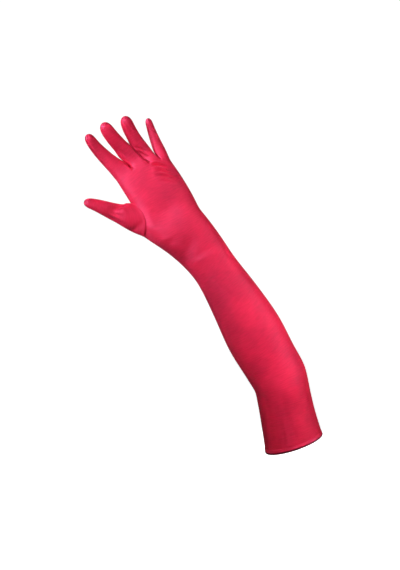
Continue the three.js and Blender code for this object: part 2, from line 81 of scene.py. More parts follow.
# Rings between each pair of shares of the way to the finger bases. The fifth zone holds the thumb hole,
# and the grid is drawn in round it as far as HOLE_EASE of its half size.
ZONES = [(0.14, 4), (0.3, 6), (0.62, 9), (0.822, 8), (0.935, 6), (1.0, 10)]
THUMB_ZONE = 4
THUMB_FIRST, THUMB_LAST = 35, 41
HOLE_EASE = 1.2
# Places between the fingers on the palm side: column reached and rise past the base line
WEBS = [(0, 0.0), (4.9, 0.0166), (10.1, 0.0166), (13.7, 0.012), (16, 0.0)]
WEB_FADE = 0.09
WEB_BACK_SHARE = 0.5
WEB_SADDLE = 0.003
# Fingers: length as a share of the glove, width, tip width and depth as shares of FINGER_WIDTH,
# then leans and curls in degrees at the base, at a third, at two thirds and at the tip
INDEX = (0.147, 1.34, 0.78, 1.15, (49, 47, 43, 27), (6, 12, 19, 30))
MIDDLE = (0.154, 1.28, 0.97, 1.18, (45, 44, 41, 28), (8, 18, 26, 32))
RING = (0.147, 1.1, 0.93, 1.08, (44, 40, 29, 17), (6, 14, 24, 34))
LITTLE = (0.12, 1.04, 0.52, 0.98, (29, 24, 20, 16), (2, 8, 13, 17))
FINGERS = [INDEX, MIDDLE, RING, LITTLE]
LEANS, CURLS = 4, 5
# Rings up a finger and the power that crowds them toward its base, girth of the flat cloth per width, share
# of the glove's length over which the base turns round, steps along the centre line, and the domed tip
FINGER_RINGS = 10
RING_CROWDING = 1.25
FINGER_GIRTH = 3.1
FINGER_BLEND = 0.036
PATH_STEPS = 24
DOME_ANGLES = (28, 52)
DOME_SHARE = 0.72
FINGER_APART = 0.0006
FIRST_CORNER = 135
# Broad dents and swellings: share of the way, angle from the right edge by way of the palm, reach, spread,
# tilt and rise
RELIEFS = [
    (0.885, 100, 0.026, 0.012, 20, -0.0026),
    (0.85, 140, 0.020, 0.011, 20, 0.0022),
    (0.84, 60, 0.026, 0.009, 0, 0.0009),
    (0.735, 95, 0.022, 0.010, 0, -0.0016),
    (0.66, 75, 0.046, 0.006, 0, -0.0011),
    (0.2, 170, 0.007, 0.030, 0, -0.0016),
    (0.235, 165, 0.006, 0.026, 0, 0.0010),
    (0.21, 300, 0.016, 0.018, 0, 0.0030),
]


def smooth(t):
    held = min(max(t, 0.0), 1.0)
    return held * held * (3 - 2 * held)


def hermite(start, end, start_slope, end_slope, t):
    bend = t * t * (3 - 2 * t)
    straight = start * (1 - bend) + end * bend
    return straight + start_slope * t * (1 - t) ** 2 - end_slope * t * t * (1 - t)


section_along = [0.0]
for before, row in zip(SECTIONS, SECTIONS[1:]):
    step = (Vector(row[:3]) - Vector(before[:3])).length * GLOVE_LENGTH
    section_along.append(section_along[-1] + step)
BASE_ALONG = section_along[-1]


def section_values(along):
    """The section table, read at any distance as smooth curves through its rows"""
    last = len(SECTIONS) - 1
    index = 0
    while index < last - 1 and section_along[index + 1] < along:
        index += 1
    span = section_along[index + 1] - section_along[index]
    t = (along - section_along[index]) / span
    low, high = max(index - 1, 0), min(index + 2, last)
    low_span = section_along[index + 1] - section_along[low]
    high_span = section_along[high] - section_along[index]
    values = []
    for column in range(len(SECTIONS[0])):
        start, end = SECTIONS[index][column], SECTIONS[index + 1][column]
        start_slope = (end - SECTIONS[low][column]) / low_span * span
        end_slope = (SECTIONS[high][column] - start) / high_span * span
        values.append(hermite(start, end, start_slope, end_slope, t))
    return values


def axes_of(lean, tip, turn=0.0):
    """Right, front and along axes of a section"""
    lean, tip, turn = math.radians(lean), math.radians(tip), math.radians(turn)
    axis = Vector((-math.sin(lean) * math.cos(tip), -math.sin(tip), math.cos(lean) * math.cos(tip)))
    across = Vector((math.cos(lean), 0, math.sin(lean)))
    right = across * math.cos(turn) - across.cross(axis) * math.sin(turn)
    return right, right.cross(axis), axis


def oval_point(width, depth, square, angle):
    cosine, sine = math.cos(angle), math.sin(angle)
    x = math.copysign(abs(cosine) ** (2 / square), cosine) * width / 2
    return x, math.copysign(abs(sine) ** (2 / square), sine) * depth / 2


def oval_angle(width, depth, square, share):
    """The angle on an oval that lies a share of its edge from the right end"""
    steps = 240
    lengths = [0.0]
    last = oval_point(width, depth, square, 0)
    for step in range(1, steps + 1):
        here = oval_point(width, depth, square, step / steps * math.tau)
        lengths.append(lengths[-1] + math.dist(here, last))
        last = here
    target = (share % 1.0) * lengths[-1]
    step = 1
    while step < steps and lengths[step] < target:
        step += 1
    part = (target - lengths[step - 1]) / (lengths[step] - lengths[step - 1])
    return (step - 1 + part) / steps * math.tau


def web_value(entry, column):
    place = min(max(column / SIDE, 0), len(WEBS) - 1)
    index = min(int(place), len(WEBS) - 2)
    return WEBS[index][entry] + (WEBS[index + 1][entry] - WEBS[index][entry]) * (place - index)


def web_shift(column):
    """Where a column lies near the finger bases, and how far it runs past the base line"""
    if column <= PALM_END:
        return web_value(0, column), web_value(1, column)
    if column < BACK_START or column > BACK_END:
        return column, 0.0
    mirrored = BACK_END - column
    return BACK_END - web_value(0, mirrored), web_value(1, mirrored) * WEB_BACK_SHARE


def relief_at(along, angle, width):
    total = 0.0
    for share, around, reach, spread, tilt, rise in RELIEFS:
        up = along - share * BASE_ALONG
        side = math.radians((math.degrees(angle) - around + 180) % 360 - 180) * width / 2
        cosine, sine = math.cos(math.radians(tilt)), math.sin(math.radians(tilt))
        far = ((up * cosine + side * sine) / reach) ** 2 + ((side * cosine - up * sine) / spread) ** 2
        total += rise * math.exp(-far)
    return total


def cloth_point(column, along, offset=0.0):
    """A point of the sleeve or palm at a grid column and a distance along, moved outward by offset"""
    x, y, z, width, depth, lean, tip, turn, square = section_values(along)
    width, depth = width * SLEEVE_WIDTH, depth * SLEEVE_WIDTH
    right, front, axis = axes_of(lean, tip, turn)
    near = smooth(1 - (BASE_ALONG - along) / (WEB_FADE * GLOVE_LENGTH))
    held = column % AROUND
    shifted, rise = web_shift(held)
    moved = held + (shifted - held) * near
    angle = oval_angle(width, depth, square, (RIGHT_COLUMN - moved) / AROUND)
    u, v = oval_point(width, depth, square, angle)
    out = relief_at(along, angle, width) + offset
    out_right, out_front = math.cos(angle) * depth / width, math.sin(angle)
    size = math.hypot(out_right, out_front)
    u, v = u + out_right / size * out, v + out_front / size * out
    centre = Vector((x, y, z)) * GLOVE_LENGTH
    return centre + right * u + front * v + axis * rise * GLOVE_LENGTH * near


ring_places = [HEM_HEIGHT + SEAM_GAP]
zone_starts = []
for end, count in ZONES:
    zone_starts.append(len(ring_places) - 1)
    begin = ring_places[-1]
    ring_places += [begin + (end * BASE_ALONG - begin) * ring / count for ring in range(1, count + 1)]
HOLE_START, HOLE_END = zone_starts[THUMB_ZONE], zone_starts[THUMB_ZONE + 1]


def ring_place(ring):
    index = min(int(ring), len(ring_places) - 2)
    return ring_places[index] + (ring_places[index + 1] - ring_places[index]) * (ring - index)


def round_hole(column, ring):
    """Draws the grid in round the thumb hole, so that the hole is an oval"""
    half_columns, half_rings = (THUMB_LAST - THUMB_FIRST) / 2, (HOLE_END - HOLE_START) / 2
    middle_column, middle_ring = THUMB_FIRST + half_columns, HOLE_START + half_rings
    wrapped = column + AROUND if column < THUMB_FIRST - AROUND / 2 else column
    u, v = (wrapped - middle_column) / half_columns, (ring - middle_ring) / half_rings
    boxed, rounded = max(abs(u), abs(v)), math.hypot(u, v)
    if rounded == 0:
        return column, ring
    pull = 1 + (boxed / rounded - 1) * (1 - smooth((boxed - 1) / HOLE_EASE))
    return middle_column + u * pull * half_columns, middle_ring + v * pull * half_rings


class Cloth:
    """A sheet of cloth: points, four-sided faces with their place on the flat cloth, and seam points"""

    def __init__(self):
        self.points = []
        self.faces = []
        self.flats = []
        self.seam = set()

    def point(self, position):
        self.points.append(position)
        return len(self.points) - 1

    def face(self, corners, flats):
        self.faces.append(corners)
        self.flats.append(flats)

    def join(self, lower, upper, low, high, start, pitch):
        """Faces between two rings, from distances low to high along the cloth"""
        for index, first in enumerate(lower):
            after = (index + 1) % len(lower)
            left, right = start + index * pitch, start + (index + 1) * pitch
            corners = (first, lower[after], upper[after], upper[index])
            self.face(corners, ((left, low), (right, low), (right, high), (left, high)))

    def mesh(self, name):
        mesh = bpy.data.meshes.new(name)
        mesh.from_pydata([tuple(p) for p in self.points], [], self.faces)
        layer = mesh.uv_layers.new(name="cloth")
        for face, flats in zip(mesh.polygons, self.flats):
            for loop, flat in zip(face.loop_indices, flats):
                layer.data[loop].uv = flat
            face.use_smooth = True
        marks = mesh.attributes.new("seam", "FLOAT", "POINT")
        for index in self.seam:
            marks.data[index].value = 1.0
        return mesh


def angle_at(values, share):
    place = min(max(share, 0.0), 1.0) * (len(values) - 1)
    index = min(int(place), len(values) - 2)
    before, after = values[max(index - 1, 0)], values[min(index + 2, len(values) - 1)]
    slopes = (values[index + 1] - before) / 2, (after - values[index]) / 2
    return hermite(values[index], values[index + 1], slopes[0], slopes[1], place - index)


class FingerPath:
    """The bending centre line of a finger, with its axes and size at any reach"""

    def __init__(self, row, start):
        length, self.width, tip_width, self.depth, self.leans, self.curls = row
        self.start = start
        self.length = length * GLOVE_LENGTH
        self.width *= FINGER_WIDTH
        self.tip_width = tip_width * FINGER_WIDTH
        self.depth_share = self.depth * FINGER_WIDTH / self.width
        self.dome = self.tip_width * DOME_SHARE
        self.shoulder = self.length - self.dome

    def axes(self, reach):
        return axes_of(angle_at(self.leans, reach / self.length), angle_at(self.curls, reach / self.length))

    def centre(self, reach):
        place = self.start.copy()
        for step in range(PATH_STEPS):
            place += self.axes((step + 0.5) / PATH_STEPS * reach)[2] * (reach / PATH_STEPS)
        return place

    def size(self, reach):
        taper = min(reach / self.shoulder, 1)
        width = self.width * (1 - taper) + self.tip_width * taper
        rise = min(max((reach - self.shoulder) / self.dome, 0), 1)
        rounding = math.sqrt(1 - rise * rise)
        return width * rounding, width * self.depth_share * rounding


def toward_other(path, other, reach):
    axis = path.axes(reach)[2]
    away = other.centre(reach) - path.centre(reach)
    level = away - axis * away.dot(axis)
    return level.normalized(), level.length


def grow_finger(cloth, path, loop, side, blend_length, flat, seams, neighbours=()):
    """A tube from a loop of points along a bending axis, closed by a domed grid.
    It is pressed flat where it would run into the finger beside it. seams are its sewn sides."""
    base = [cloth.points[index] for index in loop]
    start = sum(base, Vector()) / len(base)
    pitch = FINGER_GIRTH * path.width / (4 * side)
    flat_start, flat_low = flat
    base_axis = path.axes(0)[2]
    apart = 1 - 2 * FINGER_APART / path.width
    last, done = loop, 0.0
    shares = [(ring / FINGER_RINGS) ** RING_CROWDING for ring in range(1, FINGER_RINGS + 1)]
    reaches = [path.shoulder * share for share in shares]
    reaches += [path.shoulder + path.dome * math.sin(math.radians(a)) for a in DOME_ANGLES]
    for reach in reaches:
        centre = path.centre(reach)
        right, front = path.axes(reach)[:2]
        width, depth = path.size(reach)
        blend = smooth(reach / (blend_length * GLOVE_LENGTH))
        presses = []
        for other, between in neighbours:
            if reach > other.shoulder:
                continue
            toward, distance = toward_other(path, other, 0)
            at_base = (between - path.start).dot(toward) / distance
            above = width / (width + other.size(reach)[0])
            toward, distance = toward_other(path, other, reach)
            settled = smooth(reach / (FINGER_BLEND * GLOVE_LENGTH))
            presses.append((toward, distance * (at_base + (above - at_base) * settled) - FINGER_APART))
        ring = []
        for index, point in enumerate(base):
            angle = math.radians(FIRST_CORNER - index / side * 90)
            rounded = centre + right * (math.cos(angle) * width / 2) + front * (math.sin(angle) * depth / 2)
            held = start + (point - start) * apart + base_axis * reach
            place = held.lerp(rounded, blend)
            for toward, room in presses:
                over = (place - centre).dot(toward) - room
                if over > 0:
                    place = place - toward * over
            ring.append(cloth.point(place))
            if index in seams:
                cloth.seam.add(ring[-1])
        cloth.join(last, ring, flat_low + done, flat_low + reach, flat_start, pitch)
        last, done = ring, reach
    rim = math.cos(math.radians(DOME_ANGLES[-1]))
    grid = []
    for back in range(side + 1):
        line = []
        for over in range(side + 1):
            if back == 0:
                line.append(last[over])
            elif back == side:
                line.append(last[3 * side - over])
            elif over == 0:
                line.append(last[4 * side - back])
            elif over == side:
                line.append(last[side + back])
            else:
                x, y = 2 * over / side - 1, 1 - 2 * back / side
                u, v = x * math.sqrt(1 - y * y / 2) * rim, y * math.sqrt(1 - x * x / 2) * rim
                reach = path.shoulder + path.dome * math.sqrt(1 - u * u - v * v)
                right, front = path.axes(reach)[:2]
                place = path.centre(reach) + right * (u * path.tip_width / 2)
                place += front * (v * path.tip_width / 2 * path.depth_share)
                line.append(cloth.point(place))
                if back == side // 2:
                    cloth.seam.add(line[-1])
        grid.append(line)
    for back in range(side):
        for over in range(side):
            lower, upper = grid[back], grid[back + 1]
            corners = (lower[over], lower[over + 1], upper[over + 1], upper[over])
            left, low = flat_start + over * pitch, flat_low + done + back * pitch
            right, high = left + pitch, low + pitch
            cloth.face(corners, ((left, low), (right, low), (right, high), (left, high)))


body_cloth = Cloth()
rings = []
for ring, place in enumerate(ring_places):
    row = []
    for column in range(AROUND):
        moved_column, moved_ring = round_hole(column, ring)
        along = ring_place(min(moved_ring, len(ring_places) - 1))
        row.append(body_cloth.point(cloth_point(moved_column, along)))
    rings.append(row)
for ring in range(len(rings) - 1):
    for column in range(AROUND):
        wrapped = column + AROUND if column < THUMB_FIRST - AROUND / 2 else column
        if THUMB_FIRST <= wrapped < THUMB_LAST and HOLE_START <= ring < HOLE_END:
            continue
        after = (column + 1) % AROUND
        left, right = column * SLEEVE_ROUND / AROUND, (column + 1) * SLEEVE_ROUND / AROUND
        low, high = ring_places[ring], ring_places[ring + 1]
        corners = (rings[ring][column], rings[ring][after], rings[ring + 1][after], rings[ring + 1][column])
        body_cloth.face(corners, ((left, low), (right, low), (right, high), (left, high)))
for row in rings:
    body_cloth.seam.update((row[int(LEFT_COLUMN)], row[int(RIGHT_COLUMN)]))
base_ring = rings[-1]
web_lines = []
for web in range(1, len(FINGERS)):
    lower, upper = FINGERS[web - 1], FINGERS[web]
    lean, curl = (lower[LEANS][0] + upper[LEANS][0]) / 2, (lower[CURLS][0] + upper[CURLS][0]) / 2
    axis = axes_of(lean, curl)[2]
    front, back = base_ring[web * SIDE], base_ring[BACK_END - web * SIDE]
    line = [front]
    for step in range(1, SIDE):
        share = step / SIDE
        place = body_cloth.points[front].lerp(body_cloth.points[back], share)
        place += axis * math.sin(share * math.pi) * WEB_SADDLE * GLOVE_LENGTH
        line.append(body_cloth.point(place))
        if step == SIDE // 2:
            body_cloth.seam.add(line[-1])
    web_lines.append(line + [back])
last_finger = len(FINGERS) - 1
finger_loops = []
for finger in range(len(FINGERS)):
    near, far = finger * SIDE, (finger + 1) * SIDE
    palm_side = base_ring[near:far + 1]
    back_side = base_ring[BACK_END - far:BACK_END - near + 1]
    right_side = base_ring[PALM_END:BACK_START + 1] if finger == last_finger else web_lines[finger]
    left_side = base_ring[BACK_END:] + base_ring[:1] if finger == 0 else web_lines[finger - 1][::-1]
    sides = (palm_side, right_side, back_side, left_side)
    finger_loops.append([index for line in sides for index in line[:SIDE]])


def middle_of(cloth, indices):
    return sum((cloth.points[i] for i in indices), Vector()) / len(indices)


finger_paths = [FingerPath(row, middle_of(body_cloth, loop)) for row, loop in zip(FINGERS, finger_loops)]
for finger, loop in enumerate(finger_loops):
    neighbours = []
    if finger > 0:
        neighbours.append((finger_paths[finger - 1], middle_of(body_cloth, web_lines[finger - 1])))
    if finger < last_finger:
        neighbours.append((finger_paths[finger + 1], middle_of(body_cloth, web_lines[finger])))
    flat = (finger * SIDE * SLEEVE_ROUND / AROUND, BASE_ALONG)
    sewn = (1.5 * SIDE, 3.5 * SIDE)
    grow_finger(body_cloth, finger_paths[finger], loop, SIDE, FINGER_BLEND, flat, sewn, neighbours)


def plain_mesh(obj):
    """Turns the object's mesh with its modifiers into a plain mesh"""
    depsgraph = bpy.context.evaluated_depsgraph_get()
    mesh = bpy.data.meshes.new_from_object(obj.evaluated_get(depsgraph))
    obj.modifiers.clear()
    obj.data = mesh


# Seams by the seam mark, which is 1 on a seam and 0 one square away: a crease, and a swelling beside it
SEAM_DEPTH = 0.0007
SEAM_FROM = 0.8
SEAM_BULGE = 0.00025
BULGE_AT = 0.62
BULGE_SPREAD = 0.2
# Folds: steps along a curve, the share of it at each end where a fold fades no further, the power of the
# fade, how far round the side a fold reaches, and how much of the way to its curve a closing fold may go
FOLD_STEPS = 17
FOLD_END = 0.06
FOLD_FADE = 0.6
FOLD_WRAP = 2.2
CLOSING_SHARE = 0.85


def near_curve(places, start_x, start_z, middle_x, middle_z, end_x, end_z):
    """Squared distance of each point from a curve in x and z, and the share of the way where it is nearest"""
    near, along = np.full(len(places), np.inf), np.zeros(len(places))
    for t in np.linspace(0, 1, FOLD_STEPS):
        x = (1 - t) ** 2 * start_x + 2 * t * (1 - t) * middle_x + t * t * end_x
        z = (1 - t) ** 2 * start_z + 2 * t * (1 - t) * middle_z + t * t * end_z
        gap = (places[:, 0] - x) ** 2 + (places[:, 2] - z) ** 2
        along = np.where(gap < near, t, along)
        near = np.minimum(near, gap)
    return near, along


def sewn_cloth(cloth, name, folds):
    """A rounded cloth mesh with its seams drawn in and its folds raised"""
    obj = bpy.data.objects.new(name, cloth.mesh(name))
    bpy.context.scene.collection.objects.link(obj)
    rounding = obj.modifiers.new("rounding", "SUBSURF")
    rounding.levels = rounding.render_levels = 2
    plain_mesh(obj)
    mesh = obj.data
    count = len(mesh.vertices)
    places, normals, seam = np.empty(count * 3), np.empty(count * 3), np.empty(count)
    mesh.vertices.foreach_get("co", places)
    mesh.vertex_normals.foreach_get("vector", normals)
    mesh.attributes["seam"].data.foreach_get("value", seam)
    places, normals = places.reshape(-1, 3), normals.reshape(-1, 3)
    out = SEAM_BULGE * np.exp(-(((seam - BULGE_AT) / BULGE_SPREAD) ** 2))
    out -= SEAM_DEPTH * np.clip((seam - SEAM_FROM) / (1 - SEAM_FROM), 0, 1) ** 2
    for *curve, width, height, facing in folds:
        near, along = near_curve(places, *curve)
        ends = np.sin(np.pi * np.clip(along, FOLD_END, 1 - FOLD_END)) ** FOLD_FADE
        fold = height * np.exp(-near / width ** 2) * ends
        if facing:
            out += fold * np.clip(-normals[:, 1] * facing * FOLD_WRAP, 0, 1)
        else:
            out += np.minimum(fold, np.sqrt(near) * CLOSING_SHARE)
    places += normals * out[:, None]
    mesh.vertices.foreach_set("co", places.ravel())
    mesh.update()
    return obj


def give_thickness(obj, thickness):
    """Adds the reverse side of the cloth, which takes the object's second material"""
    wall = obj.modifiers.new("thickness", "SOLIDIFY")
    wall.thickness = thickness
    wall.offset = -1
    wall.material_offset = 1
    plain_mesh(obj)
    obj.data.set_sharp_from_angle(angle=math.radians(CUT_EDGE_ANGLE))


def math_node(tree, operation, first, second=None):
    """A math node whose inputs are numbers or outputs of other nodes"""
    node = tree.nodes.new("ShaderNodeMath")
    node.operation = operation
    for socket, value in zip(node.inputs, (first, second)):
        if isinstance(value, (int, float)):
            socket.default_value = value
        elif value is not None:
            tree.links.new(value, socket)
    return node.outputs[0]


def drawn_out_noise(tree, flat, stretch, scale, detail):
    """Noise whose spots are drawn out on the flat cloth"""
    stretched = tree.nodes.new("ShaderNodeVectorMath")
    stretched.operation = "MULTIPLY"
    stretched.inputs[1].default_value = stretch
    tree.links.new(flat, stretched.inputs[0])
    noise = tree.nodes.new("ShaderNodeTexNoise")
    noise.inputs["Detail"].default_value = detail
    tree.links.new(stretched.outputs[0], noise.inputs["Vector"])
    tree.links.new(scale, noise.inputs["Scale"])
    return noise.outputs["Fac"]


def soft_step(tree, value, low, high):
    """0 under low and 1 over high, with a soft rise between"""
    step = tree.nodes.new("ShaderNodeMapRange")
    step.interpolation_type = "SMOOTHSTEP"
    step.inputs["From Min"].default_value = low
    step.inputs["From Max"].default_value = high
    tree.links.new(value, step.inputs["Value"])
    return step.outputs[0]


def weave_group():
    """Satin weave: long floats of thread across fine ribs, with slubs and uneven dye"""
    float_slant, float_pitch = 0.35, 0.28
    rib_height, float_height, slub_height = 0.5, 0.35, 2.2
    thread_shade, middle_shade = 0.10, 0.5
    group = bpy.data.node_groups.new("satin weave", "ShaderNodeTree")
    face = group.interface
    face.new_socket("Flat Cloth", in_out="INPUT", socket_type="NodeSocketVector")
    face.new_socket("Threads per Metre", in_out="INPUT", socket_type="NodeSocketFloat").default_value = 2600
    face.new_socket("Slub Size", in_out="INPUT", socket_type="NodeSocketFloat").default_value = 75
    face.new_socket("Height", in_out="OUTPUT", socket_type="NodeSocketFloat")
    face.new_socket("Shade", in_out="OUTPUT", socket_type="NodeSocketFloat")
    start, end = group.nodes.new("NodeGroupInput"), group.nodes.new("NodeGroupOutput")
    split = group.nodes.new("ShaderNodeSeparateXYZ")
    group.links.new(start.outputs["Flat Cloth"], split.inputs[0])
    turns = math_node(group, "MULTIPLY", start.outputs["Threads per Metre"], math.tau)
    rib = math_node(group, "SINE", math_node(group, "MULTIPLY", split.outputs["Y"], turns))
    rib = math_node(group, "MULTIPLY", rib, rib_height)
    slant = math_node(group, "MULTIPLY", split.outputs["Y"], float_slant)
    slant = math_node(group, "MULTIPLY", math_node(group, "ADD", split.outputs["X"], slant), turns)
    run = math_node(group, "SINE", math_node(group, "MULTIPLY", slant, float_pitch))
    threads = math_node(group, "ADD", rib, math_node(group, "MULTIPLY", run, float_height))
    flat, slub_size = start.outputs["Flat Cloth"], start.outputs["Slub Size"]
    slubs = drawn_out_noise(group, flat, stretch=(1.0, 9.0, 1.0), scale=slub_size, detail=3.0)
    slub = math_node(group, "SUBTRACT", slubs, 0.5)
    height = math_node(group, "ADD", threads, math_node(group, "MULTIPLY", slub, slub_height))
    shade = math_node(group, "ADD", math_node(group, "MULTIPLY", threads, thread_shade), slub)
    group.links.new(height, end.inputs["Height"])
    group.links.new(math_node(group, "ADD", shade, middle_shade), end.inputs["Shade"])
    return group


def seam_group():
    """Sewn seam: a fine line of painted shade in the crease, and small puckers that fade beside it"""
    painted_shade_from, puckers_from, puckers_full = 0.93, 0.1, 0.95
    group = bpy.data.node_groups.new("sewn seam with painted shade", "ShaderNodeTree")
    face = group.interface
    face.new_socket("Flat Cloth", in_out="INPUT", socket_type="NodeSocketVector")
    face.new_socket("Seam", in_out="INPUT", socket_type="NodeSocketFloat")
    face.new_socket("Pucker Size", in_out="INPUT", socket_type="NodeSocketFloat").default_value = 170
    face.new_socket("Height", in_out="OUTPUT", socket_type="NodeSocketFloat")
    face.new_socket("Line", in_out="OUTPUT", socket_type="NodeSocketFloat")
    start, end = group.nodes.new("NodeGroupInput"), group.nodes.new("NodeGroupOutput")
    # The line is painted shade: it darkens the base colour in the seam's crease
    line = soft_step(group, start.outputs["Seam"], painted_shade_from, 1.0)
    near = soft_step(group, start.outputs["Seam"], puckers_from, puckers_full)
    flat, pucker_size = start.outputs["Flat Cloth"], start.outputs["Pucker Size"]
    puckers = drawn_out_noise(group, flat, stretch=(0.25, 1.0, 1.0), scale=pucker_size, detail=1.0)
    lift = math_node(group, "MULTIPLY", puckers, near)
    group.links.new(math_node(group, "SUBTRACT", lift, line), end.inputs["Height"])
    group.links.new(line, end.inputs["Line"])
    return group


satin_weave = weave_group()
seam_with_painted_shade = seam_group()


def satin_material(name, dye, shadow_dye, crease_painted_shade, roughness, sheen, weave_depth):
    """Red satin: dye that varies softly, fine weave, seams with painted shade in their creases, and a broad
    pink shine
    """
    weave_strength, seam_strength, seam_depth, uneven = 0.35, 0.6, 0.0009, 0.06
    material = bpy.data.materials.new(name)
    material.use_nodes = True
    nodes, links = material.node_tree.nodes, material.node_tree.links
    shader = nodes["Principled BSDF"]
    finish = {
        "IOR": 1.55,
        "Specular IOR Level": 0.75,
        "Specular Tint": (1.0, 0.2, 0.46, 1),
        "Anisotropic": 0.4,
        "Sheen Weight": sheen,
        "Sheen Roughness": 0.45,
        "Sheen Tint": (1.0, 0.25, 0.42, 1),
    }
    for socket, value in finish.items():
        shader.inputs[socket].default_value = value
    coordinates = nodes.new("ShaderNodeTexCoord")
    seam_mark = nodes.new("ShaderNodeAttribute")
    seam_mark.attribute_name = "seam"
    tangent = nodes.new("ShaderNodeTangent")
    tangent.direction_type = "UV_MAP"
    tangent.uv_map = "cloth"
    links.new(tangent.outputs[0], shader.inputs["Tangent"])
    weave = nodes.new("ShaderNodeGroup")
    weave.node_tree = satin_weave
    links.new(coordinates.outputs["UV"], weave.inputs["Flat Cloth"])
    seam = nodes.new("ShaderNodeGroup")
    seam.node_tree = seam_with_painted_shade
    links.new(coordinates.outputs["UV"], seam.inputs["Flat Cloth"])
    links.new(seam_mark.outputs["Fac"], seam.inputs["Seam"])

    dye_noise = nodes.new("ShaderNodeTexNoise")
    dye_noise.inputs["Scale"].default_value = 22.0
    dye_noise.inputs["Detail"].default_value = 2.0
    links.new(coordinates.outputs["Object"], dye_noise.inputs["Vector"])
    dye_ramp = nodes.new("ShaderNodeValToRGB")
    dye_ramp.color_ramp.elements[0].position = 0.36
    dye_ramp.color_ramp.elements[0].color = (*shadow_dye, 1)
    dye_ramp.color_ramp.elements[1].position = 0.6
    dye_ramp.color_ramp.elements[1].color = (*dye, 1)
    links.new(dye_noise.outputs["Fac"], dye_ramp.inputs["Fac"])
    threads = nodes.new("ShaderNodeMix")
    threads.data_type = "RGBA"
    threads.blend_type = "SOFT_LIGHT"
    threads.inputs["Factor"].default_value = 0.7
    links.new(dye_ramp.outputs["Color"], threads.inputs["A"])
    links.new(weave.outputs["Shade"], threads.inputs["B"])
    # Painted shade: the base colour is darkened toward the crease colour along the seam line
    crease = nodes.new("ShaderNodeMix")
    crease.data_type = "RGBA"
    crease.blend_type = "MIX"
    crease.inputs["B"].default_value = (*crease_painted_shade, 1)
    links.new(seam.outputs["Line"], crease.inputs["Factor"])
    links.new(threads.outputs["Result"], crease.inputs["A"])
    links.new(crease.outputs["Result"], shader.inputs["Base Color"])

    rough_range = nodes.new("ShaderNodeMapRange")
    rough_range.inputs["To Min"].default_value = roughness - uneven
    rough_range.inputs["To Max"].default_value = roughness + uneven
    links.new(weave.outputs["Shade"], rough_range.inputs["Value"])
    links.new(rough_range.outputs[0], shader.inputs["Roughness"])
    weave_bump = nodes.new("ShaderNodeBump")
    weave_bump.inputs["Strength"].default_value = weave_strength
    weave_bump.inputs["Distance"].default_value = weave_depth
    links.new(weave.outputs["Height"], weave_bump.inputs["Height"])
    seam_bump = nodes.new("ShaderNodeBump")
    seam_bump.inputs["Strength"].default_value = seam_strength
    seam_bump.inputs["Distance"].default_value = seam_depth
    links.new(seam.outputs["Height"], seam_bump.inputs["Height"])
    links.new(weave_bump.outputs[0], seam_bump.inputs["Normal"])
    links.new(seam_bump.outputs[0], shader.inputs["Normal"])
    return material


# The crease colours are painted shade, laid into the seams' creases
satin_face = satin_material(
    "satin face", dye=(0.70, 0.0105, 0.041), shadow_dye=(0.55, 0.007, 0.031),
    crease_painted_shade=(0.26, 0.0028, 0.0124), roughness=0.54, sheen=0.02, weave_depth=0.00012)
satin_reverse = satin_material(
    "satin reverse", dye=(0.46, 0.012, 0.035), shadow_dye=(0.36, 0.008, 0.026),
    crease_painted_shade=(0.18, 0.003, 0.01), roughness=0.78, sheen=0.1, weave_depth=0.00016)

